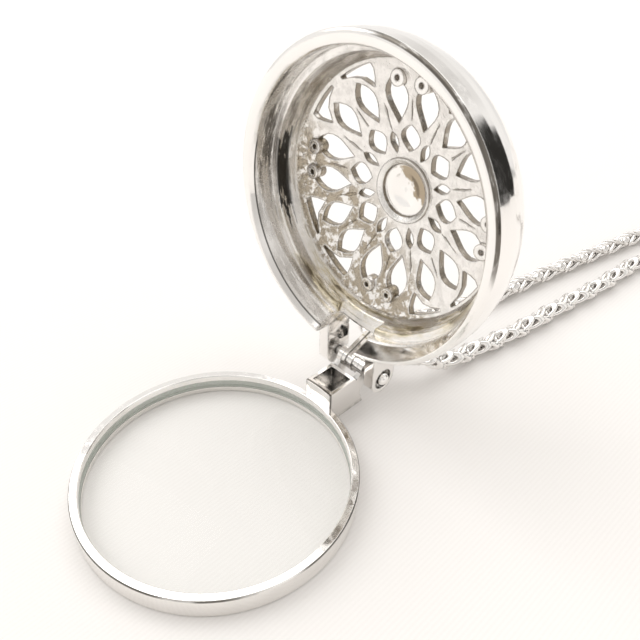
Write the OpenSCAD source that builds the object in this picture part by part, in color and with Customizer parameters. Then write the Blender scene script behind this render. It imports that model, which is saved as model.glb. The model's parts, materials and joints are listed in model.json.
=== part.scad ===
// Folding magnifier pendant on a long rope chain. A pierced, domed cover is hinged to the framed
// lens, and a grooved bail on the hinge pin carries the chain. Millimetres, +Z up.
// Origin: centre of the lens, on the surface that the lens frame lies on. +X points to the hinge.

/* [Lens frame] */
// Outer radius of the lens frame
frame_r = 20.5; // [19.5:0.1:21]
// Height of the lens frame
frame_h = 3.45; // [3.3:0.05:4]
// Width of the flat top edge of the lens frame
frame_edge = 1.25; // [1:0.05:1.6]
// Thickness of the lens at its edge
lens_edge = 1.3; // [1.1:0.1:1.6]
// Rise of each curved lens face over its edge
lens_rise = 1; // [0.6:0.1:1.05]

/* [Hinge] */
// Distance from the lens centre to the hinge axis
hinge_x = 28.8; // [28.4:0.1:29.2]
// Height of the hinge axis
hinge_z = 6.5; // [6.3:0.1:6.7]
// Radius of the hinge pin
pin_r = 0.75; // [0.6:0.05:0.85]
// Running clearance round the pin
pin_play = 0.05; // [0.02:0.01:0.08]
// Angle of the cover from closed, as it stands
open_deg = 94.9; // [0:0.1:145]

/* [Tab] */
// Width of the hollow tab between the lens frame and the hinge
tab_w = 5.4; // [5.2:0.1:5.6]
// Height of the tab
tab_h = 6; // [5.6:0.1:6.2]
// Distance from the lens centre to the tab's outer wall
tab_x = 26; // [25.8:0.1:26.1]
// Thickness of the tab's walls
tab_wall = 0.6; // [0.5:0.05:0.8]

/* [Cover] */
// Largest radius of the cover
cover_r = 22.9; // [22.7:0.1:23.2]
// Radius of the recess that the lens frame folds into
recess_r = 20.8; // [20.75:0.05:21.1]
// Height of the closed cover's edge over the surface
cover_lift = 0.4; // [0.3:0.1:0.5]
// Radius of the pierced field
field_r = 18.6; // [18.4:0.1:18.8]
// Rise of the pierced dome from its edge to its middle
dome_rise = 3.2; // [2.8:0.1:3.4]
// Thickness of the pierced dome
dome_wall = 1.1; // [1:0.1:1.4]
// Radius of the hollow in the middle of the dome
cup_r = 3.9; // [3.6:0.1:4]

/* [Ears] */
// Gap between the two ears
ear_gap = 8; // [7.8:0.1:8.4]
// Thickness of each ear
ear_w = 2; // [1.8:0.1:2.2]
// Radius of the ears' round ends
ear_r = 2.5; // [2.2:0.1:2.6]

/* [Bail] */
// Width of the bail's strap
bail_w = 3.4; // [3:0.1:3.4]
// Thickness of the strap
bail_wall = 0.8; // [0.7:0.05:0.9]
// Inner radius of the bail's eye
eye_r = 2.1; // [2.05:0.05:2.15]

/* [Chain] */
// Diameter of the rope chain
chain_d = 3.4; // [3:0.1:3.6]
// Length of the clasp
clasp_l = 14; // [13:0.5:15]

/* [Hidden] */
$fn = 96;
eps = 0.01;
// Height of a cut that goes right through
through = 20;
hinge = [hinge_x, hinge_z];

// Lens seat: a groove in the frame holds the edge of the glass between two lips
seat_gap = 0.05;
lens_r = frame_r - frame_edge + 0.5;
lens_mid_z = frame_h / 2;
face_r = (lens_r * lens_r + lens_rise * lens_rise) / (2 * lens_rise);
frame_bevel = 0.15;

// Tab and lugs
tab_x0 = frame_r - 0.3;
tab_foot_x = tab_x + 2;
tab_floor = 1.2;
knuckle_r = 1.7;
lug_in = bail_w / 2 + 0.05;
lug_w = tab_w / 2 - lug_in;
lug_front_h = 5;
lug_back_h = 2.2;
lug_bury = 0.4;

// Cover section: depths are measured from its front edge
band_depth = 4.3;
ledge_r = 19.75;
field_depth = 8.4;
side_mid = 2.6;
side_end = 9.95;
side_r = 18.4;
dome_r = (field_r * field_r + dome_rise * dome_rise) / (2 * dome_rise);
dome_z = cover_lift + field_depth + dome_rise - dome_r;
dome_clip = field_r + 0.5;
notch_depth = 6.5;
// A bevel on the hinge side of the recess, so that the lens frame swings clear
swing_shift = 1;
swing_front_r = recess_r + 0.6;
swing_back_r = recess_r - 0.7;
swing_depth = 3.1;
notch_x0 = 18;
cup_face = 11;
cup_floor = 12.3;
cup_ring = 0.9;
button_r = 4.2;
button_rise = 0.9;
button_ball = 9;

// Ears reach from the rim to the hinge axis
ear_y = ear_gap / 2;
ear_root_x = 21.3;
ear_front = 2.9;
ear_back = 7.8;

// Pin and its round heads
head_r = 1.15;
head_y = ear_y + ear_w - 0.35;
// A round dish in each ear's outer face, for the pin's head
dish_r = 1.8;
dish_deep = 0.6;
pin_bury = 0.3;

// Bail: a strap round the pin that opens into an eye for the chain
eye_at = [35.2, 7.65];
groove_deep = 0.25;
rib_w = bail_w / 5;
barrel_r = 1.3;
tuck = 0.02;

// Pierced ornament: the gaps beside the arms of one quarter of the rosette
// columns: arm, turn from it, radius at the inner tip, tilt, length, half width, belly
arm = 0;
tip_turn = 1;
tip_r = 2;
tilt = 3;
gap_len = 4;
gap_half = 5;
belly = 6;
quarter_gaps = [
    [0, 0, 6, 0, 3.9, 1.7, 1.05],
    [45, 0, 6, 0, 3.9, 1.7, 1.05],
    [0, 22.5, 5.5, 0, 3.1, 0.7, 1.2],
    [0, 12.9, 9.7, -6.5, 6.8, 1.95, 1.3],
    [45, 11.6, 10.2, -5, 6.1, 1.8, 1.25]
];
gap_steps = 8;
gap_bluntness = 0.85;
// Bays along the rim, as radius and turn from the arm with the curls
bay_r = 18.1;
bay_from = 22.5;
bay_to = 41.5;
bay_inside = [[17.75, 41.5], [17.3, 36], [16.6, 31], [14.9, 25.2], [16.2, 22.8], [17.3, 21.8]];
bay_steps = 5;
// Curls at the ends of the longer leaves
curl_at = 16.1;
curl_turn = 7.3;
curl_r = 1.15;
curl_eye_r = 0.4;
curl_face = 8.6;

// Chain route: from the clasp's near end along the surface, through the bail and back
lie = chain_d / 2 + 0.05;
clasp_at = [359, -40, 2.75];
clasp_r = 2.7;
route = [
    [359, -47, 2.7], [357, -60, lie], [349, -75, lie], [334, -89, lie], [312, -100, lie],
    [285, -106, lie], [256, -107, lie], [227, -101, lie], [201, -89, lie], [178, -72, lie],
    [157, -52, lie], [139, -35, lie], [121, -23, lie], [102, -16.4, lie], [87, -14.7, lie],
    [74, -12.8, lie], [62, -11.3, lie], [52, -9.2, lie], [44.8, -8, 2.5], [40.4, -6.9, 4.2],
    [37.3, -5.3, 6.2], [35.4, -2.9, 7.5], [35.15, 0, 7.7], [35.4, 2.9, 7.5], [37.3, 5.3, 6.2],
    [40.8, 6.4, 4.2], [45.5, 6, 2.4], [52, 3.7, lie], [60, 0.6, lie], [69, -2.2, lie],
    [81, -4.4, lie], [93, -6.9, lie], [106, -9.6, lie], [119, -12.2, lie], [134, -13.4, lie],
    [151, -11, lie], [170, -4.2, lie], [192, 6, lie], [218, 17, lie], [246, 24, lie],
    [274, 25, lie], [301, 20, lie], [326, 10, lie], [345, -5, lie], [357, -22, lie],
    [359, -33, 2.7]
];
rings_per_span = 2;
tube_sides = 8;

// The four corners where two circles' outer tangents touch them
function tangent_quad(p, rp, q, rq) =
    let (d = q - p, lead = atan2(d.y, d.x), turn = acos((rp - rq) / norm(d)))
    [
        p + rp * [cos(lead + turn), sin(lead + turn)],
        q + rq * [cos(lead + turn), sin(lead + turn)],
        q + rq * [cos(lead - turn), sin(lead - turn)],
        p + rp * [cos(lead - turn), sin(lead - turn)]
    ];

// Outline of a leaf that starts at the origin and runs along +X
function leaf_side(length, half, full, side) = [
    for (i = [1 : gap_steps - 1])
    let (t = i / gap_steps)
    [length * t, side * half * pow(sin(180 * pow(t, full)), gap_bluntness)]
];
function reversed(list) = [for (i = [len(list) - 1 : -1 : 0]) list[i]];
function leaf(length, half, full) = concat(
    [[0, 0]],
    leaf_side(length, half, full, -1),
    [[length, 0]],
    reversed(leaf_side(length, half, full, 1))
);

// Outline of a bay: an arc along the rim and a point towards the middle
function polar(r, a) = r * [cos(a), sin(a)];
bay_outline = concat(
    [for (i = [0 : bay_steps]) [bay_r, bay_from + (bay_to - bay_from) * i / bay_steps]],
    bay_inside
);
function bay(side) =
    let (points = [for (p = bay_outline) polar(p[0], side * p[1])])
    side > 0 ? points : reversed(points);

// Section of the cover's rim, as radius and depth
function side_arc(steps) = [
    for (i = [0 : steps])
    let (a = 90 * i / steps)
    [side_r + (cover_r - side_r) * cos(a), side_mid + (side_end - side_mid) * sin(a)]
];
rim_section = concat(
    [
        [field_r, field_depth],
        [ledge_r - 0.15, band_depth + 1.9],
        [ledge_r, band_depth + 0.2],
        [recess_r, band_depth],
        [recess_r, 0.8],
        [recess_r + 0.2, 0.4],
        [recess_r + 0.7, 0.12],
        [cover_r - 0.7, 0],
        [cover_r - 0.2, 0.12],
        [cover_r - 0.02, 0.5]
    ],
    side_arc(9)
);

// A smooth path through the route's points
function spline(a, b, c, d, t) =
    0.5 * (2 * b + (c - a) * t + (2 * a - 5 * b + 4 * c - d) * t * t
    + (3 * b - a - 3 * c + d) * t * t * t);
last = len(route) - 1;
function route_at(i) = route[max(0, min(last, i))];
path = [
    for (i = [0 : last - 1], j = [0 : rings_per_span - 1])
    if (rings_per_span * i + j < 1 || j == 0 || norm(route[i + 1] - route[i]) > 6)
    spline(route_at(i - 1), route[i], route[i + 1], route_at(i + 2), j / rings_per_span)
];
chain_path = concat(path, [route[last]]);

// The frame of each ring stays level, so the tube doesn't twist
ring_last = len(chain_path) - 1;
function unit(v) = v / norm(v);
function heading(i) =
    i == 0 || i == ring_last ? [0, -1, 0]
    : unit(chain_path[i + 1] - chain_path[i - 1]);
function ring_at(i) =
    let (ahead = heading(i), aside = unit(cross([0, 0, 1], ahead)), up = cross(ahead, aside))
    [
        for (k = [0 : tube_sides - 1])
        let (a = 360 * (k + 0.5) / tube_sides)
        chain_path[i] + chain_d / 2 * (cos(a) * aside + sin(a) * up)
    ];

module flat_plate(y0, width) {
    translate([0, y0 + width, 0]) rotate([90, 0, 0]) linear_extrude(width) children();
}

module disc_at(place, radius) {
    translate(place) circle(radius);
}

module pin_bore(radius) {
    translate([hinge_x, 0, hinge_z]) rotate([90, 0, 0]) cylinder(r = radius, h = through, center = true);
}

module rosette() {
    for (k = [0 : 3], side = [-1, 1]) rotate(90 * k) {
        for (gap = quarter_gaps)
            rotate(gap[arm] + side * gap[tip_turn]) translate([gap[tip_r], 0]) rotate(side * gap[tilt])
                polygon(leaf(gap[gap_len], gap[gap_half], gap[belly]));
        polygon(bay(side));
    }
}

module curls(radius) {
    for (k = [0 : 3], side = [-1, 1])
        rotate(90 * k + side * curl_turn) translate([curl_at, 0]) circle(radius, $fn = 24);
}

module dome_shell() {
    intersection() {
        difference() {
            translate([0, 0, dome_z]) sphere(dome_r + dome_wall, $fn = 180);
            translate([0, 0, dome_z]) sphere(dome_r, $fn = 180);
        }
        translate([0, 0, cover_lift + band_depth]) linear_extrude(through) children();
    }
}

module pierced_dome() {
    dome_shell() difference() {
        circle(dome_clip);
        rosette();
    }
    difference() {
        translate([0, 0, cover_lift + curl_face]) linear_extrude(dome_rise) curls(curl_r);
        translate([0, 0, dome_z]) difference() {
            cylinder(r = 3 * dome_r, h = 3 * dome_r);
            sphere(dome_r + dome_wall, $fn = 180);
        }
    }
}

module button() {
    intersection() {
        translate([0, 0, cover_lift + field_depth + dome_rise + dome_wall + button_rise
            - button_ball]) sphere(button_ball);
        translate([0, 0, cover_lift + cup_face]) cylinder(r = button_r, h = 10);
    }
    translate([0, 0, cover_lift + cup_face])
        cylinder(r = cup_r + cup_ring, h = field_depth + dome_rise + dome_wall / 2 - cup_face);
}

module cup_hollow() {
    translate([0, 0, cover_lift + cup_face - 1]) cylinder(r = cup_r, h = cup_floor - cup_face + 0.6);
    translate([0, 0, cover_lift + cup_floor - button_ball]) sphere(button_ball);
}

// Point where a line from p touches a circle round c
function touch(p, c, r, side) =
    let (d = p - c, lead = atan2(d.y, d.x), turn = acos(r / norm(d)))
    c + polar(r, lead + side * turn);

module cover_ear(side) {
    y0 = side > 0 ? ear_y : -ear_y - ear_w;
    front = [ear_root_x, cover_lift + ear_front];
    back = [ear_root_x, cover_lift + ear_back];
    flat_plate(y0, ear_w) {
        disc_at(hinge, ear_r);
        polygon([front, touch(front, hinge, ear_r, 1), hinge, touch(back, hinge, ear_r, -1), back]);
    }
}

module frame_swing() {
    translate([swing_shift, 0, cover_lift - eps])
        cylinder(r1 = swing_front_r, r2 = swing_back_r, h = swing_depth);
}

module closed_cover() {
    difference() {
        union() {
            difference() {
                translate([0, 0, cover_lift]) rotate_extrude() polygon(rim_section);
                translate([notch_x0, -ear_y, -1]) cube([8, ear_gap, 1 + cover_lift + notch_depth]);
                frame_swing();
            }
            cover_ear(-1);
            cover_ear(1);
            pierced_dome();
            button();
        }
        cup_hollow();
        translate([0, 0, cover_lift]) linear_extrude(through) curls(curl_eye_r);
        pin_bore(pin_r + pin_play);
        for (side = [-1, 1]) translate([hinge_x, side * (ear_y + ear_w), hinge_z])
            rotate([90, 0, 0]) cylinder(r = dish_r, h = 2 * dish_deep, center = true);
    }
}

module cover() {
    color("lightgray")
        translate([hinge_x, 0, hinge_z]) rotate([0, open_deg, 0]) translate([-hinge_x, 0, -hinge_z])
            closed_cover();
}

module tab_block() {
    difference() {
        flat_plate(-tab_w / 2, tab_w)
            polygon([[tab_x0, 0], [tab_foot_x, 0], [tab_x, tab_h], [tab_x0, tab_h]]);
        translate([frame_r + tab_wall, -tab_w / 2 + tab_wall, tab_floor])
            cube([tab_x - frame_r - 2 * tab_wall, tab_w - 2 * tab_wall, tab_h]);
        cylinder(r = frame_r - 0.2, h = 10);
    }
}

module lug(y0) {
    flat_plate(y0, lug_w) {
        disc_at(hinge, knuckle_r);
        polygon([
            [tab_x - lug_bury, lug_front_h],
            [hinge_x - knuckle_r + 0.05, hinge_z],
            hinge,
            [hinge_x + 0.4, hinge_z - knuckle_r + 0.1],
            [tab_foot_x - 1.2, lug_back_h],
            [tab_x - lug_bury, lug_back_h]
        ]);
    }
}

module lens_frame() {
    lip_r = frame_r - frame_edge;
    seat_z = lens_mid_z - lens_edge / 2 - seat_gap;
    color("silver") difference() {
        union() {
            rotate_extrude() polygon([
                [lip_r + frame_bevel, 0],
                [frame_r - frame_bevel, 0],
                [frame_r, frame_bevel],
                [frame_r, frame_h - frame_bevel],
                [frame_r - frame_bevel, frame_h],
                [lip_r + frame_bevel, frame_h],
                [lip_r, frame_h - frame_bevel],
                [lip_r, frame_h - seat_z],
                [lens_r + seat_gap, frame_h - seat_z],
                [lens_r + seat_gap, seat_z],
                [lip_r, seat_z],
                [lip_r, frame_bevel]
            ]);
            tab_block();
            lug(lug_in);
            lug(-lug_in - lug_w);
        }
        pin_bore(pin_r);
    }
}

module lens() {
    color("azure") intersection() {
        cylinder(r = lens_r, h = frame_h);
        translate([0, 0, lens_mid_z + lens_edge / 2 + lens_rise - face_r]) sphere(face_r, $fn = 360);
        translate([0, 0, lens_mid_z - lens_edge / 2 - lens_rise + face_r]) sphere(face_r, $fn = 360);
    }
}

module hinge_pin() {
    color("gainsboro") {
        translate([hinge_x, 0, hinge_z]) rotate([90, 0, 0])
            cylinder(r = pin_r, h = 2 * head_y + pin_bury, center = true);
        for (side = [-1, 1])
            translate([hinge_x, side * head_y, hinge_z]) intersection() {
                sphere(head_r);
                translate([0, side * head_r, 0]) cube(2 * head_r, center = true);
            }
    }
}

module teardrop(hinge_end_r, eye_end_r) {
    disc_at(eye_at, eye_end_r);
    polygon(tangent_quad(hinge, hinge_end_r - tuck, eye_at, eye_end_r - tuck));
}

module bail_layer(y0, cut) {
    flat_plate(y0, rib_w) difference() {
        union() {
            disc_at(hinge, knuckle_r - cut);
            teardrop(knuckle_r - cut, eye_r + bail_wall - cut);
        }
        difference() {
            teardrop(knuckle_r - bail_wall, eye_r);
            disc_at(hinge, barrel_r);
        }
    }
}

module bail() {
    color("silver") difference() {
        for (i = [0 : 4])
            bail_layer(-bail_w / 2 + i * rib_w, i % 2 == 1 ? groove_deep : 0);
        pin_bore(pin_r + pin_play);
    }
}

module chain() {
    rings = [for (i = [0 : ring_last]) each ring_at(i)];
    sides = [
        for (i = [0 : ring_last - 1], k = [0 : tube_sides - 1])
        let (next = (k + 1) % tube_sides, low = i * tube_sides, high = low + tube_sides)
        [low + k, high + k, high + next, low + next]
    ];
    start_cap = [for (k = [0 : tube_sides - 1]) k];
    end_cap = [for (k = [tube_sides - 1 : -1 : 0]) ring_last * tube_sides + k];
    color("silver") polyhedron(rings, concat(sides, [start_cap, end_cap]));
}

module clasp() {
    half = clasp_l / 2;
    neck = clasp_r - 0.7;
    color("silver") translate(clasp_at) rotate([90, 0, 0]) rotate_extrude() polygon([
        [0, -half], [neck, -half], [neck, -half + 1], [clasp_r, -half + 2], [clasp_r, -0.3],
        [clasp_r - 0.3, 0], [clasp_r, 0.3], [clasp_r, half - 2], [neck, half - 1], [neck, half],
        [0, half]
    ]);
}

lens_frame();
lens();
hinge_pin();
cover();
bail();
chain();
clasp();
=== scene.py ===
import json
import math

import bpy
from mathutils import Matrix, Vector


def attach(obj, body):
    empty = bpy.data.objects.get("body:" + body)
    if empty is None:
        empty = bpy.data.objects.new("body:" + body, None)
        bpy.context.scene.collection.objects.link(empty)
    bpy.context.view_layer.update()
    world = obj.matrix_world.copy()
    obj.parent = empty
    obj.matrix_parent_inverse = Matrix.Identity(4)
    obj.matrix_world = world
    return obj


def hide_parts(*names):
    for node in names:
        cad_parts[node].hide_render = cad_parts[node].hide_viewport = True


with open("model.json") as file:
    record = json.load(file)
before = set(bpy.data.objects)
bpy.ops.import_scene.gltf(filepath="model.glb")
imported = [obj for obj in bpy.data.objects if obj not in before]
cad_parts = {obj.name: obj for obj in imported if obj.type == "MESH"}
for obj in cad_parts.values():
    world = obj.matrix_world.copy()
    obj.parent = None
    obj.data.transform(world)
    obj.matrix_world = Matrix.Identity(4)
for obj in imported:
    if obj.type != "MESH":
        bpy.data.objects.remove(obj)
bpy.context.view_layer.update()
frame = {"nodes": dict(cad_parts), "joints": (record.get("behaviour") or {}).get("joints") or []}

mm = 0.001
raySamples = 6  # for corners and rounded edges

# The open cover: its angle in degrees and its sizes in millimetres
cover = {
    "openAngle": 94.9,
    "lift": 0.4,
    "recessRadius": 20.8,
    "faceDepth": 0.85,
    "bandDepth": 4.3,
    "fieldRadius": 18.7,
    "cupRadius": 3.9,
}
hinge = Vector(frame["joints"][0]["pos_m"])
openAngle = math.radians(cover["openAngle"])
fromHinge = Vector((-math.cos(openAngle), 0, math.sin(openAngle)))  # along the cover, away from the hinge
intoDome = Vector((math.sin(openAngle), 0, math.cos(openAngle)))  # from the front edge into the dome
sideways = Vector((0, 1, 0))
coverMiddle = hinge + fromHinge * hinge.x + intoDome * (cover["lift"] * mm - hinge.z)


def selectOnly(*pieces):
    if bpy.context.object and bpy.context.object.mode != "OBJECT":
        bpy.ops.object.mode_set(mode="OBJECT")
    bpy.ops.object.select_all(action="DESELECT")
    for piece in pieces:
        piece.select_set(True)
    if pieces:
        bpy.context.view_layer.objects.active = pieces[0]


def applyModifiers(piece):
    selectOnly(piece)
    for modifier in list(piece.modifiers):
        bpy.ops.object.modifier_apply(modifier=modifier.name)


class Signal:  # a shader socket that takes part in sums
    def __init__(self, finish, socket):
        self.finish = finish
        self.socket = socket

    def __add__(self, other):
        return self.finish.sum("ADD", self, other)

    def __sub__(self, other):
        return self.finish.sum("SUBTRACT", self, other)

    def __rsub__(self, other):
        return self.finish.sum("SUBTRACT", other, self)

    def __mul__(self, other):
        return self.finish.sum("MULTIPLY", self, other)

    __radd__ = __add__
    __rmul__ = __mul__


class Finish:  # a material, or a world, whose nodes are added one by one
    def __init__(self, owner):
        self.owner = owner
        owner.use_nodes = True
        self.tree = owner.node_tree
        self.tree.nodes.clear()

    def add(self, kind, settings=None, sockets=None, output=0):
        node = self.tree.nodes.new(kind)
        for key, value in (settings or {}).items():
            setattr(node, key, value)
        for key, value in (sockets or {}).items():
            if isinstance(value, Signal):
                self.tree.links.new(value.socket, node.inputs[key])
            else:
                node.inputs[key].default_value = value
        return Signal(self, node.outputs[output]) if node.outputs else node

    def sum(self, operation, first, second=0.0):
        return self.add("ShaderNodeMath", {"operation": operation}, {0: first, 1: second})

    def point(self):
        return self.add("ShaderNodeTexCoord", output="Object")

    def noise(self, where, size, detail=3, roughness=0.5):
        sockets = {"Vector": where, "Scale": 1 / size, "Detail": detail, "Roughness": roughness}
        return self.add("ShaderNodeTexNoise", None, sockets)

    def step(self, value, low, high, atLow=0.0, atHigh=1.0):
        sockets = {"Value": value, "From Min": low, "From Max": high, "To Min": atLow, "To Max": atHigh}
        return self.add("ShaderNodeMapRange", {"interpolation_type": "SMOOTHSTEP"}, sockets)

    def rise(self, value, edge):  # 0 before the edge's two values, 1 after them
        return self.step(value, *edge)

    def fall(self, value, edge):  # 1 before the edge's two values, 0 after them
        return self.step(value, *edge, 1, 0)

    def blend(self, share, first, second):
        return self.add("ShaderNodeMix", {"data_type": "RGBA"}, {0: share, 6: first, 7: second}, 2)

    def vector(self, operation, first, second, output=0):
        return self.add("ShaderNodeVectorMath", {"operation": operation}, {0: first, 1: second}, output)

    def dot(self, first, second):
        return self.vector("DOT_PRODUCT", first, second, "Value")

    def ringRadius(self, where):  # distance from the lens's middle line
        return self.vector("LENGTH", self.vector("MULTIPLY", where, Vector((1, 1, 0))), Vector(), "Value")

    def crevice(self, distance, edge, inside=False):  # 0 in a deep corner, 1 in the open
        settings = {"samples": raySamples, "inside": inside}
        return self.rise(self.add("ShaderNodeAmbientOcclusion", settings, {"Distance": distance}, "AO"), edge)

    def relief(self, height, depth, under=None):
        sockets = {"Height": height, "Distance": depth}
        if under:
            sockets["Normal"] = under
        return self.add("ShaderNodeBump", None, sockets)

    def roundedEdge(self, radius):
        return self.add("ShaderNodeBevel", {"samples": raySamples}, {"Radius": radius})

    def metal(self, colour, roughness, normal):
        sockets = {"Base Color": colour, "Metallic": 1.0, "Roughness": roughness, "Normal": normal}
        return self.add("ShaderNodeBsdfPrincipled", None, sockets)

    def show(self, surface):
        self.add("ShaderNodeOutputMaterial", None, {"Surface": surface})
        return self.owner


def grey(value, warmth=0.02):
    return (value, value * (1 - warmth), value * (1 - 2.2 * warmth), 1)


print("finishes")
silver = {
    "bright": grey(0.97),
    "worn": grey(0.91),
    "soft": grey(0.74, 0.03),
    # painted highlight in the recess
    "paintedShine": grey(0.95),
    "shade": grey(0.42, 0.04),
    "chainShade": grey(0.42, 0.05),
    # painted shade in the grooves
    "groove": grey(0.3, 0.08),
    # painted dark reflection in the recess
    "patch": grey(0.03, 0.05),
    # painted dark reflection just inside the front face's lip
    "faceLine": grey(0.06, 0.08),
    # painted dark reflection along the rim's outer corner
    "rimLine": (0.09, 0.075, 0.055, 1),
    # painted shade at the hinge, and a painted dark reflection on the frame's top corner
    "paintedBlack": (0.06, 0.05, 0.035, 1),
    "brown": (0.2, 0.165, 0.12, 1),
    # painted dark reflection round the bars' rounded edges
    "outline": (0.2, 0.17, 0.13, 1),
    # painted shade on the cut walls of the gaps
    "cutWall": (0.25, 0.21, 0.16, 1),
    "flatBrown": (0.4, 0.34, 0.25, 1),
    # painted reflection on the cup's upper side
    "cupBrown": (0.42, 0.35, 0.26, 1),
    # painted golden highlight on the ledge near the hinge
    "paintedGoldHighlight": (0.74, 0.66, 0.46, 1),
}
# Two tones each, far from the hinge and near it: painted light and shade, the same metal painted lighter near the
# hinge, with a painted golden highlight on the ledge there
recessTones = {
    "dull": (grey(0.24, 0.05), grey(0.72, 0.04)),
    "light": (grey(0.7, 0.03), grey(0.95, 0.03)),
    "ledge": (grey(0.5, 0.05), silver["paintedGoldHighlight"]),
}
# Painted shade in the corners round the hinge: how far it reaches, its edge and its share
paintedBlack = {"reach": 1.7 * mm, "corner": (0.3, 0.8), "share": 0.9}
tonePatch = 4 * mm
# Stains and marks are in the brushed coordinates, which are in millimetres, and the others in metres
spots = {
    "stains": {"size": 1.6, "detail": 4, "roughness": 0.65},
    "marks": {"size": 0.4, "detail": 3, "roughness": 0.6},
    "mottle": {"size": 1.6 * mm, "detail": 5, "roughness": 0.65},
    "fine": {"size": 0.9 * mm, "detail": 4, "roughness": 0.6},
    "grain": {"size": 0.35 * mm, "detail": 4, "roughness": 0.6},
}

# Lengths are in metres; hingeStart and hingeEnd are places along X
polish = {
    "hingeStart": (20.3 * mm, 20.8 * mm),
    "hingeEnd": (36 * mm, 40 * mm),
    "corner": (0.15, 0.7),
    "lineWidth": (0.17 * mm, 0.1 * mm),
    "lineHeight": (3.1 * mm, 3.2 * mm),
    "lineEnd": (20.6 * mm, 20.8 * mm),
    "lineSpot": 9 * mm,
    "lineShare": 0.85,
    "waveLength": 2.5 * mm,
    "waveDepth": 0.006 * mm,
    "sheenSpot": 1.3 * mm,
    "roughness": (0.06, 0.2),
}


def finishPolishedSilver(name, edge, corner, cornerPatinaAndShade, lineRadius=None):
    finish = Finish(bpy.data.materials.new(name))
    where = finish.point()
    # Painted shade: round the hinge the corners are painted wider and nearly black
    x = finish.add("ShaderNodeSeparateXYZ", None, {0: where})
    atHinge = finish.rise(x, polish["hingeStart"]) * finish.fall(x, polish["hingeEnd"])
    hingeShade = (1 - finish.crevice(paintedBlack["reach"], paintedBlack["corner"])) * atHinge
    hingeShade = hingeShade * finish.rise(finish.noise(where, **spots["fine"]), (0.3, 0.55))
    tone = finish.blend(finish.noise(where, tonePatch), silver["worn"], silver["bright"])
    # Corners are painted darker: painted shade on the frame and the chain, brown patina with painted shade on the
    # pin, bail and clasp
    colour = finish.blend(1 - finish.crevice(corner, polish["corner"]), tone, cornerPatinaAndShade)
    colour = finish.blend(hingeShade * paintedBlack["share"], colour, silver["paintedBlack"])
    # Painted dark reflection along the ring's rounded top outer corner
    if lineRadius:  # a thin dark line round the top outer corner of the ring
        radius = finish.ringRadius(where)
        start, full = (lineRadius - width for width in polish["lineWidth"])
        line = finish.rise(radius, (start, full)) * finish.fall(radius, polish["lineEnd"])
        line = line * finish.rise(finish.dot(where, Vector((0, 0, 1))), polish["lineHeight"])
        line = line * finish.rise(finish.noise(where, polish["lineSpot"], 2), (0.4, 0.52))
        colour = finish.blend(line * polish["lineShare"], colour, silver["paintedBlack"])
    waves = finish.noise(where, polish["waveLength"], 2)
    waves = finish.relief(waves, polish["waveDepth"], finish.roundedEdge(edge))
    roughness = finish.step(finish.noise(where, polish["sheenSpot"], 4), 0.35, 0.7, *polish["roughness"])
    return finish.show(finish.metal(colour, roughness, waves))


# Places on the cover, in millimetres: depth into the dome, along away from the hinge, across to the left and
# radius from the middle. Each pair is where an edge starts and where it is complete. Lengths in metres have mm.
cast = {
    "brush": {"turn": 3.5, "radius": 0.5},
    # The wide bevel at the left of the recess counts as recess
    "bevel": {"width": 1.4, "depth": (3.1, 3.4), "across": (-4, 0), "room": 0.2, "edge": (0, 0.1)},
    "bandEdge": 0.15,
    "ledgeEdge": (-0.1, 0.2),
    "fieldEdge": 0.3,
    "fieldDepth": (6, 7),
    "cupEdge": (-0.4, -0.1),
    "faceLine": {"start": 0.1, "end": (0.2, 0.35), "along": (2, 5), "across": (0, 4), "share": 0.85},
    "patch": {"across": (13, 16), "bottom": (-8, -7), "top": (3, 4), "front": (4.3, 4.6), "back": (6.9, 7.5),
              "raggedStains": 14, "raggedMarks": 8, "share": 0.95},
    "nearHinge": (-14, -2),
    "paintedShine": {"top": (-6, -1), "bottom": (-17, -13), "across": (4, 8)},
    "groove": {"width": (0, 0.2), "wander": 0.06, "armStart": (10.3, 10.8), "armEnd": (12.5, 14),
               "seamStart": (8.5, 9.5), "seamEnd": (11.5, 13), "share": 0.55, "depth": 0.12 * mm},
    # The curls stand proud of the dome
    "dome": {"depth": 11.6, "curve": 0.009, "wallProud": (0.05, 0.2), "curlProud": (0.05, 0.25)},
    "middle": {"reach": 0.4 * mm, "edge": (0.7, 0.97)},
    "lowerLeft": {"across": 0.6, "along": 0.8, "edge": (3, 9)},
    "flatBrownShare": 0.85,
    "cupReflection": (4.2, 4.9),
    "patinaAndShade": {"reach": 1.2 * mm, "edge": (0.25, 0.7)},
    "corner": 0.45 * mm,
    "outline": (0.75, 0.9),
    "rimLine": {"radius": (22.4, 22.55), "depth": (0.5, 0.6), "across": (-2, 3), "along": (0, 4)},
    "hinge": (-22.5, -21),
    "roughness": {"plain": (0.06, 0.15), "upper": 0.16, "lower": 0.12, "bars": (0.04, 0.16)},
    "granule": 0.55 * mm,
    "granuleDepth": 0.08 * mm,
    "pitDepth": 0.12 * mm,
    "waveLength": 3 * mm,
    "waveDepth": 0.03 * mm,
}


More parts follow.
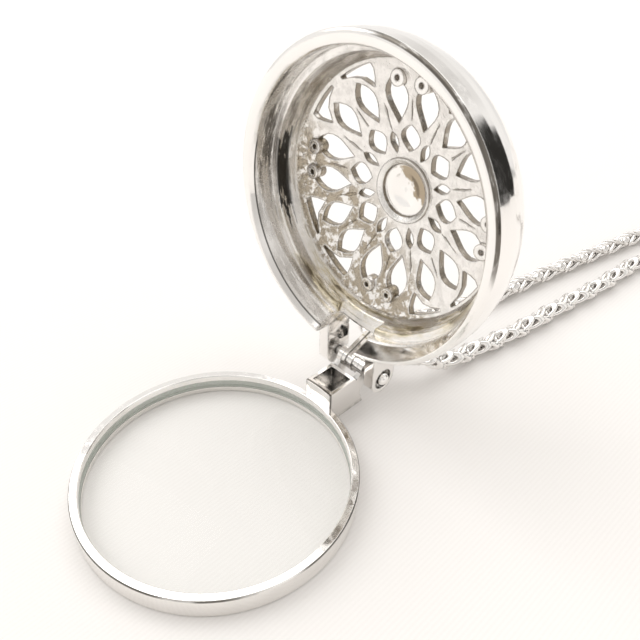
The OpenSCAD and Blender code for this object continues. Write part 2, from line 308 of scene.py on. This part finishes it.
class CastSilver(Finish):  # the cover's finish
    def __init__(self):
        super().__init__(bpy.data.materials.new("castSilver"))
        self.where = self.point()
        offset = self.vector("SUBTRACT", self.where, coverMiddle)
        self.depth, self.along, self.across = (
            self.dot(offset, axis) * (1 / mm) for axis in (intoDome, fromHinge, sideways))
        self.radius = self.sum("SQRT", self.along * self.along + self.across * self.across)
        self.turn = self.sum("ARCTAN2", self.across, self.along)
        self.nearHinge = self.fall(self.along, cast["nearHinge"])
        lowerLeft = cast["lowerLeft"]
        towards = self.across * lowerLeft["across"] - self.along * lowerLeft["along"]
        self.lowerLeft = self.rise(towards, lowerLeft["edge"])
        self.addSpots()
        self.addZones()

    def addSpots(self):
        # Brush marks and stains run round the recess
        brush = cast["brush"]
        sockets = {0: self.turn * brush["turn"], 1: self.depth, 2: self.radius * brush["radius"]}
        brushed = self.add("ShaderNodeCombineXYZ", None, sockets)
        self.stains = self.noise(brushed, **spots["stains"])
        self.marks = self.noise(brushed, **spots["marks"])
        self.mottle = self.noise(self.where, **spots["mottle"])
        self.fine = self.noise(self.where, **spots["fine"])
        self.grain = self.noise(self.where, **spots["grain"])

    def addZones(self):
        bevel = cast["bevel"]
        start, full = bevel["depth"]
        limit = self.step(self.depth, start, full, bevel["width"], 0) * self.rise(self.across, bevel["across"])
        limit = limit + (cover["recessRadius"] + bevel["room"])
        self.inRecess = self.fall(self.radius - limit, bevel["edge"])
        self.band = self.inRecess * self.rise(self.depth, (cover["faceDepth"], cover["faceDepth"] + cast["bandEdge"]))
        field = self.fall(self.radius, (cover["fieldRadius"], cover["fieldRadius"] + cast["fieldEdge"]))
        self.field = field * self.rise(self.depth, cast["fieldDepth"])
        self.cup = self.fall(self.radius, [cover["cupRadius"] + edge for edge in cast["cupEdge"]])
        self.bars = self.field * (1 - self.cup)
        ledgeEdge = [cover["bandDepth"] + edge for edge in cast["ledgeEdge"]]
        self.lower = self.band * self.rise(self.depth, ledgeEdge) * (1 - self.field)
        self.upper = self.band * self.fall(self.depth, ledgeEdge)

    def byHinge(self, tones):
        return self.blend(self.nearHinge, *tones)

    def faceLine(self):
        line = cast["faceLine"]
        start = [cover["faceDepth"], cover["faceDepth"] + line["start"]]
        end = [cover["faceDepth"] + edge for edge in line["end"]]
        dark = self.inRecess * self.rise(self.depth, start) * self.fall(self.depth, end)
        return dark * self.fall(self.along, line["along"]) * self.rise(self.across, line["across"])

    def patch(self):
        patch = cast["patch"]
        ragged = (self.stains - 0.5) * patch["raggedStains"] + (self.marks - 0.5) * patch["raggedMarks"]
        dark = self.rise(self.across, patch["across"]) * self.rise(self.along + ragged, patch["bottom"])
        dark = dark * self.fall(self.along - ragged, patch["top"]) * self.rise(self.depth, patch["front"])
        return dark * self.fall(self.depth + self.stains, patch["back"])

    def paintRecess(self, tone):
        # The stains in the recess, with painted light: the same metal painted lighter near the hinge
        worn = self.blend(self.rise(self.stains, (0.44, 0.55)), self.byHinge(recessTones["dull"]),
                          self.byHinge(recessTones["light"]))
        worn = self.blend(self.rise(self.marks, (0.56, 0.66)), worn, silver["bright"])
        tone = self.blend(self.upper, tone, worn)
        ledge = self.blend(self.rise(self.stains, (0.4, 0.6)), self.byHinge(recessTones["ledge"]), silver["bright"])
        ledge = self.blend(self.fall(self.stains, (0.36, 0.47)) * self.nearHinge, ledge, silver["brown"])
        tone = self.blend(self.lower, tone, ledge)
        # Painted highlight: the lower band towards the hinge is painted nearly white in spots
        paintedShine = cast["paintedShine"]
        paintedShining = self.band * self.fall(self.along, paintedShine["top"]) * self.rise(self.along, paintedShine["bottom"])
        paintedShining = paintedShining * self.rise(self.across, paintedShine["across"])
        tone = self.blend(paintedShining * self.step(self.stains, 0.36, 0.5, 0.3, 0.85), tone, silver["paintedShine"])
        # Painted dark reflection: a ragged near-black patch on the ledge at the left of the recess
        tone = self.blend(self.patch() * cast["patch"]["share"], tone, silver["patch"])
        # Painted dark reflection: a dark line on the recess wall just inside the front face
        return self.blend(self.faceLine() * cast["faceLine"]["share"], tone, silver["faceLine"])

    def grooves(self):  # shallow, between the leaves along each arm and between the arms
        groove = cast["groove"]
        eighth = math.pi / 8
        fromArm = self.sum("PINGPONG", self.turn, eighth) + (self.mottle - 0.5) * groove["wander"]
        arm = self.fall(fromArm * self.radius, groove["width"]) * self.rise(self.radius, groove["armStart"])
        arm = arm * self.fall(self.radius, groove["armEnd"])
        seam = self.fall((eighth - fromArm) * self.radius, groove["width"])
        seam = seam * self.rise(self.radius, groove["seamStart"]) * self.fall(self.radius, groove["seamEnd"])
        return (arm + seam) * self.field

    def paintField(self, tone, grooves):
        # Painted highlight: the bars are painted bright along their edges and duller along the middle, with random
        # duller spots and the raised curls brighter; painted shade: the cut walls, which face sideways, are painted
        # dark
        dome = cast["dome"]
        proud = dome["depth"] - self.radius * self.radius * dome["curve"] - self.depth
        lowFace, highFace = dome["wallProud"]
        facing = self.sum("ABSOLUTE", self.dot(self.add("ShaderNodeTexCoord", output="Normal"), intoDome))
        wall = self.fall(facing, (0.3, 0.75)) * self.bars * self.step(proud, lowFace, highFace, 1, 0.25)
        middle = self.crevice(cast["middle"]["reach"], cast["middle"]["edge"], True)
        lowCurl, highCurl = dome["curlProud"]
        soft = middle * 0.3 + self.rise(self.mottle, (0.4, 0.6)) * 0.55
        soft = soft * self.step(proud, lowCurl, highCurl, 1, 0.3)
        tone = self.blend(self.bars, tone, self.blend(soft, silver["bright"], silver["soft"]))
        # Painted shade: the grooves are painted darker
        tone = self.blend(grooves * cast["groove"]["share"], tone, silver["groove"])
        tone = self.blend(wall * self.step(self.mottle, 0.3, 0.5, 0.45, 0.9), tone, silver["cutWall"])
        brownFlat = self.lowerLeft * middle * self.field
        brownFlat = brownFlat * self.rise(self.mottle * 0.7 + self.fine * 0.3, (0.43, 0.52))
        tone = self.blend(brownFlat * cast["flatBrownShare"], tone, silver["flatBrown"])
        # Painted reflection: the cup is painted brown on its upper right, the side that reflects the dark room
        cupReflection = self.cup * self.rise(self.along - self.across * 0.8 + self.mottle * 6, cast["cupReflection"])
        tone = self.blend(cupReflection, tone, silver["cupBrown"])
        # Brown in the closed corners of the field, strongest towards the lower left: patina with painted shade
        closed = 1 - self.crevice(cast["patinaAndShade"]["reach"], cast["patinaAndShade"]["edge"])
        patinaAndShaded = self.field * closed * (0.25 + self.lowerLeft * 0.75) * self.rise(self.mottle, (0.3, 0.55))
        return self.blend(patinaAndShaded, tone, silver["brown"])

    def drawLines(self, colour, rounded):  # painted dark reflections round each gap and along the rim's outer corner, and painted shade at the hinge
        # Painted dark reflection round the rounded edges of the bars
        turned = self.dot(rounded, self.add("ShaderNodeNewGeometry", output="True Normal"))
        outline = self.fall(turned, cast["outline"]) * self.bars * self.step(self.mottle, 0.3, 0.5, 0.35, 0.8)
        colour = self.blend(outline, colour, silver["outline"])
        # Painted dark reflection along the rim's rounded outer corner
        rim = cast["rimLine"]
        line = self.rise(self.radius, rim["radius"]) * self.fall(self.depth, rim["depth"])
        line = line * self.fall(self.across, rim["across"]) * self.rise(self.along + self.stains * 3, rim["along"])
        colour = self.blend(line * self.step(self.marks, 0.3, 0.5, 0.5, 0.9), colour, silver["rimLine"])
        # Painted shade in the corners round the hinge
        hingeShade = self.fall(self.along, cast["hinge"]) * (1 - self.crevice(paintedBlack["reach"], paintedBlack["corner"]))
        hingeShade = hingeShade * self.rise(self.mottle, (0.3, 0.5))
        return self.blend(hingeShade * paintedBlack["share"], colour, silver["paintedBlack"])

    def roughness(self):
        rough = cast["roughness"]
        total = self.step(self.mottle, 0.35, 0.7, *rough["plain"])
        total = total + self.upper * rough["upper"] + self.lower * rough["lower"]
        return total + self.bars * self.step(self.grain, 0.35, 0.7, *rough["bars"])

    def surface(self, rounded, grooves):
        sockets = {"Vector": self.where, "Scale": 1 / cast["granule"]}
        beads = self.add("ShaderNodeTexVoronoi", {"feature": "SMOOTH_F1"}, sockets)
        pits = self.grain * self.bars * 0.5 + self.mottle * (self.upper * 0.2 + self.lower * 0.25)
        normal = self.relief(pits, cast["pitDepth"], rounded)
        beads = (1 - beads) * self.field * self.lowerLeft * self.rise(self.mottle, (0.45, 0.6))
        normal = self.relief(beads, cast["granuleDepth"], normal)
        normal = self.relief(1 - grooves, cast["groove"]["depth"], normal)
        return self.relief(self.noise(self.where, cast["waveLength"], 2), cast["waveDepth"], normal)


def finishCastSilver():
    finish = CastSilver()
    rounded = finish.roundedEdge(cast["corner"])
    grooves = finish.grooves()
    tone = finish.blend(finish.noise(finish.where, tonePatch), silver["worn"], silver["bright"])
    colour = finish.paintField(finish.paintRecess(tone), grooves)
    colour = finish.drawLines(colour, rounded)
    return finish.show(finish.metal(colour, finish.roughness(), finish.surface(rounded, grooves)))


lensLook = {
    "clear": (0.998, 1, 0.999, 1),
    "smear": 7 * mm,
    "roughness": (0.01, 0.05),
    "ior": 1.3,
    "glossShare": 0.2,
    "groundRadius": (19.25 * mm, 19.35 * mm),
    "groundSpot": 0.3 * mm,
    "ground": [(0.48, 0.5, 0.46, 1), (0.74, 0.76, 0.72, 1)],
    "groundRoughness": 0.7,
}


def finishLensGlass():
    finish = Finish(bpy.data.materials.new("lensGlass"))
    where = finish.point()
    clear = finish.add("ShaderNodeBsdfTransparent", None, {"Color": lensLook["clear"]})
    smear = finish.step(finish.noise(where, lensLook["smear"], 3), 0.3, 0.7, *lensLook["roughness"])
    sockets = {"Base Color": (1, 1, 1, 1), "Metallic": 1.0, "Roughness": smear}
    gloss = finish.add("ShaderNodeBsdfPrincipled", None, sockets)
    edge = finish.add("ShaderNodeFresnel", None, {"IOR": lensLook["ior"]})
    glass = finish.add("ShaderNodeMixShader", None, {0: edge * lensLook["glossShare"], 1: clear, 2: gloss})
    # The edge that sits in the frame's groove is ground
    frosted = finish.blend(finish.noise(where, lensLook["groundSpot"]), *lensLook["ground"])
    sockets = {"Base Color": frosted, "Roughness": lensLook["groundRoughness"]}
    ground = finish.add("ShaderNodeBsdfPrincipled", None, sockets)
    isGround = finish.rise(finish.ringRadius(where), lensLook["groundRadius"])
    return finish.show(finish.add("ShaderNodeMixShader", None, {0: isGround, 1: glass, 2: ground}))


polishedSilver = finishPolishedSilver("polishedSilver", edge=0.15 * mm, corner=0.5 * mm, cornerPatinaAndShade=silver["brown"])
frameSilver = finishPolishedSilver(
    "frameSilver", edge=0.12 * mm, corner=0.25 * mm, cornerPatinaAndShade=silver["shade"], lineRadius=20.5 * mm)
chainSilver = finishPolishedSilver("chainSilver", edge=0.05 * mm, corner=0.6 * mm, cornerPatinaAndShade=silver["chainShade"])
castSilver = finishCastSilver()
lensGlass = finishLensGlass()
finishes = {
    "lens_frame": frameSilver, "hinge_pin": polishedSilver, "bail": polishedSilver, "clasp": polishedSilver,
    "cover": castSilver, "lens": lensGlass,
}
for node, material in finishes.items():
    frame["nodes"][node].material_slots[0].material = material


print("rope chain")
rope = {
    "pitch": 1.0 * mm,  # from one link to the next along the chain
    "turn": 1440 / 7,  # degrees from one link to the next, so two strands wind round each other
    "perPeriod": 7,
    "linkRadius": 0.84 * mm,
    "wireRadius": 0.38 * mm,
    "linkSegments": 16,
    "wireSegments": 6,
    "stretch": 2.1,  # a link is longer than it is wide
    "tilt": 27,
    "strandRadius": 0.46 * mm,  # how far a link's middle stands from the chain's middle line
    "routeSteps": 8,
    "lie": 1.75,  # height of the chain's middle line above the table, in millimetres
}
lie = rope["lie"]
# The chain's way round, in millimetres, from the clasp along the table, through the bail and back
ropeRoute = [
    (359, -44, 2.7), (359, -47, 2.7), (357, -60, lie), (349, -75, lie), (334, -89, lie), (312, -100, lie),
    (285, -106, lie), (256, -107, lie), (227, -101, lie), (201, -89, lie), (178, -72, lie),
    (157, -52, lie), (139, -35, lie), (121, -23, lie), (102, -16.4, lie), (87, -14.7, lie),
    (74, -12.8, lie), (62, -11.3, lie), (52, -9.2, lie), (44.8, -8, 2.5), (40.4, -6.9, 4.2),
    (37.3, -5.3, 6.2), (35.4, -2.9, 7.5), (35.15, 0, 7.7), (35.4, 2.9, 7.5), (37.3, 5.3, 6.2),
    (40.8, 6.4, 4.2), (45.5, 6, 2.4), (52, 3.7, lie), (60, 0.6, lie), (69, -2.2, lie),
    (81, -4.4, lie), (93, -6.9, lie), (106, -9.6, lie), (119, -12.2, lie), (134, -13.4, lie),
    (151, -11, lie), (170, -4.2, lie), (192, 6, lie), (218, 17, lie), (246, 24, lie),
    (274, 25, lie), (301, 20, lie), (326, 10, lie), (345, -5, lie), (357, -22, lie),
    (359, -33, 2.7), (359, -36, 2.7),
]


def makeRoute(name, points):
    curve = bpy.data.curves.new(name, "CURVE")
    curve.dimensions = "3D"
    curve.twist_mode = "Z_UP"
    curve.resolution_u = rope["routeSteps"]
    spline = curve.splines.new("BEZIER")
    spline.bezier_points.add(len(points) - 1)
    for i, knot in enumerate(spline.bezier_points):
        here = Vector(points[i]) * mm
        # A sixth of the way between the neighbours, as in a smooth curve through all points
        reach = (Vector(points[min(i + 1, len(points) - 1)]) - Vector(points[max(i - 1, 0)])) * mm / 6
        knot.handle_left_type = knot.handle_right_type = "FREE"
        knot.co, knot.handle_left, knot.handle_right = here, here - reach, here + reach
    route = bpy.data.objects.new(name, curve)
    bpy.context.scene.collection.objects.link(route)
    return route


def addLink(index):
    selectOnly()
    bpy.ops.mesh.primitive_torus_add(
        major_segments=rope["linkSegments"], minor_segments=rope["wireSegments"],
        major_radius=rope["linkRadius"], minor_radius=rope["wireRadius"])
    link = bpy.context.object
    spin = math.radians(index * rope["turn"])
    # The ring starts level, is stretched, leans along the chain and is then turned round it
    link.data.transform(
        Matrix.Translation((index * rope["pitch"], 0, 0)) @ Matrix.Rotation(spin, 4, "X")
        @ Matrix.Translation((0, 0, rope["strandRadius"])) @ Matrix.Rotation(math.radians(rope["tilt"]), 4, "Y")
        @ Matrix.Diagonal((rope["stretch"], 1, 1, 1)))
    return link


def makeRopeChain():
    links = [addLink(index) for index in range(rope["perPeriod"])]
    selectOnly(*links)
    bpy.ops.object.join()
    chain = bpy.context.object
    chain.name = "ropeChain"
    bpy.ops.object.shade_smooth()
    route = makeRoute("ropeRoute", ropeRoute)
    array = chain.modifiers.new("repeat", "ARRAY")
    array.fit_type = "FIT_CURVE"
    array.curve = route
    array.use_relative_offset = False
    array.use_constant_offset = True
    array.constant_offset_displace = (rope["pitch"] * rope["perPeriod"], 0, 0)
    along = chain.modifiers.new("along", "CURVE")
    along.object = route
    applyModifiers(chain)
    chain.data.materials.append(chainSilver)
    bpy.data.objects.remove(route)
    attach(chain, "base")
    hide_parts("chain")
    return chain


ropeChain = makeRopeChain()
print("rope chain triangles", sum(len(face.vertices) - 2 for face in ropeChain.data.polygons))


print("table and light")
table = {
    "size": 1.6,
    "cloth": (0.882, 0.856, 0.832, 1),
    "clothLight": grey(0.95, 0.02),
    "thread": 0.62 * mm,
    "fuzz": 0.5 * mm,
    "relief": 0.006 * mm,
    "roughness": 0.9,
}


def makeTable():
    finish = Finish(bpy.data.materials.new("tableCloth"))
    where = finish.point()
    # The wave texture repeats every tenth part of pi in its own units
    sockets = {"Vector": where, "Scale": 0.1 * math.pi / table["thread"], "Distortion": 0.6, "Detail Scale": 2}
    twill = finish.add("ShaderNodeTexWave", {"bands_direction": "Y"}, sockets)
    fuzz = finish.noise(where, table["fuzz"], 3)
    colour = finish.blend(twill * 0.3 + fuzz * 0.3, table["cloth"], table["clothLight"])
    relief = finish.relief(twill + fuzz, table["relief"])
    sockets = {"Base Color": colour, "Roughness": table["roughness"], "Normal": relief}
    finish.show(finish.add("ShaderNodeBsdfPrincipled", None, sockets))
    selectOnly()
    bpy.ops.mesh.primitive_plane_add(size=table["size"])
    cloth = bpy.context.object
    cloth.name = "table"
    cloth.data.materials.append(finish.owner)


makeTable()

# Angles in degrees, lengths in metres and the lens in millimetres
camera = {
    "target": Vector((0.03804, 0.0175, 0)), "distance": 0.1307, "azimuth": -45.7, "elevation": 38.1,
    "roll": 1.9, "lens": 38.25, "clipStart": 0.005,
}


def makeCamera():
    azimuth, elevation, roll = (math.radians(camera[key]) for key in ("azimuth", "elevation", "roll"))
    back = Vector((
        math.sin(azimuth) * math.cos(elevation), -math.cos(azimuth) * math.cos(elevation), math.sin(elevation)))
    right = Vector((math.cos(azimuth), math.sin(azimuth), 0))
    up = back.cross(right)
    turned = right * math.cos(roll) + up * math.sin(roll)
    upright = up * math.cos(roll) - right * math.sin(roll)
    view = bpy.data.objects.new("camera", bpy.data.cameras.new("camera"))
    bpy.context.scene.collection.objects.link(view)
    view.matrix_world = (
        Matrix.Translation(camera["target"] + back * camera["distance"])
        @ Matrix((turned, upright, back)).transposed().to_4x4())
    view.data.lens = camera["lens"]
    view.data.clip_start = camera["clipStart"]
    bpy.context.scene.camera = view
    return right, back


right, back = makeCamera()

# Places are to the right of the camera, back towards it, and up from the target, in metres
lamps = {
    "window": {"place": (-0.7, -0.3, 0.9), "size": 1.0, "watts": 5.3},
    "ceiling": {"place": (0.3, -0.5, 1.1), "size": 1.2, "watts": 4.35},
}
room = {
    "light": grey(1.0), "dim": grey(0.66, 0.03), "dark": grey(0.03, 0.06), "strength": 0.95,
    "patch": 0.8, "patchEdge": (0.35, 0.6),
    # Dark things that stand in the room: azimuth, half width, height and soft edge, in degrees
    "things": [(-26, 11, 27, 2), (-82, 4, 5, 3)],
}


def addLamp(name, place, size, watts):
    level = Vector((back.x, back.y, 0)).normalized()
    spot = camera["target"] + right * place[0] + level * place[1] + Vector((0, 0, place[2]))
    light = bpy.data.lights.new(name, "AREA")
    light.shape = "SQUARE"
    light.size = size
    light.energy = watts
    lamp = bpy.data.objects.new(name, light)
    bpy.context.scene.collection.objects.link(lamp)
    lamp.location = spot
    lamp.rotation_euler = (camera["target"] - spot).to_track_quat("-Z", "Y").to_euler()


for name, values in lamps.items():
    addLamp(name, **values)


def makeRoom():
    world = bpy.data.worlds.new("room")
    walls = Finish(world)
    way = walls.add("ShaderNodeTexCoord", output="Generated")
    patches = walls.rise(walls.noise(way, room["patch"], 1), room["patchEdge"])
    colour = walls.blend(patches, room["dim"], room["light"])
    east, north, up = (walls.dot(way, Vector(axis)) for axis in Matrix.Identity(3))
    bearing = walls.sum("ARCTAN2", north, east) * math.degrees(1)
    height = walls.sum("ARCSINE", up) * math.degrees(1)
    for azimuth, halfWidth, top, edge in room["things"]:
        inside = walls.fall(walls.sum("ABSOLUTE", bearing - azimuth), (halfWidth - edge, halfWidth + edge))
        inside = inside * walls.fall(height, (top - edge, top + edge))
        colour = walls.blend(inside, colour, room["dark"])
    glow = walls.add("ShaderNodeBackground", None, {"Color": colour, "Strength": room["strength"]})
    walls.add("ShaderNodeOutputWorld", None, {"Surface": glow})
    bpy.context.scene.world = world


makeRoom()
bpy.context.scene.view_settings.view_transform = "Standard"
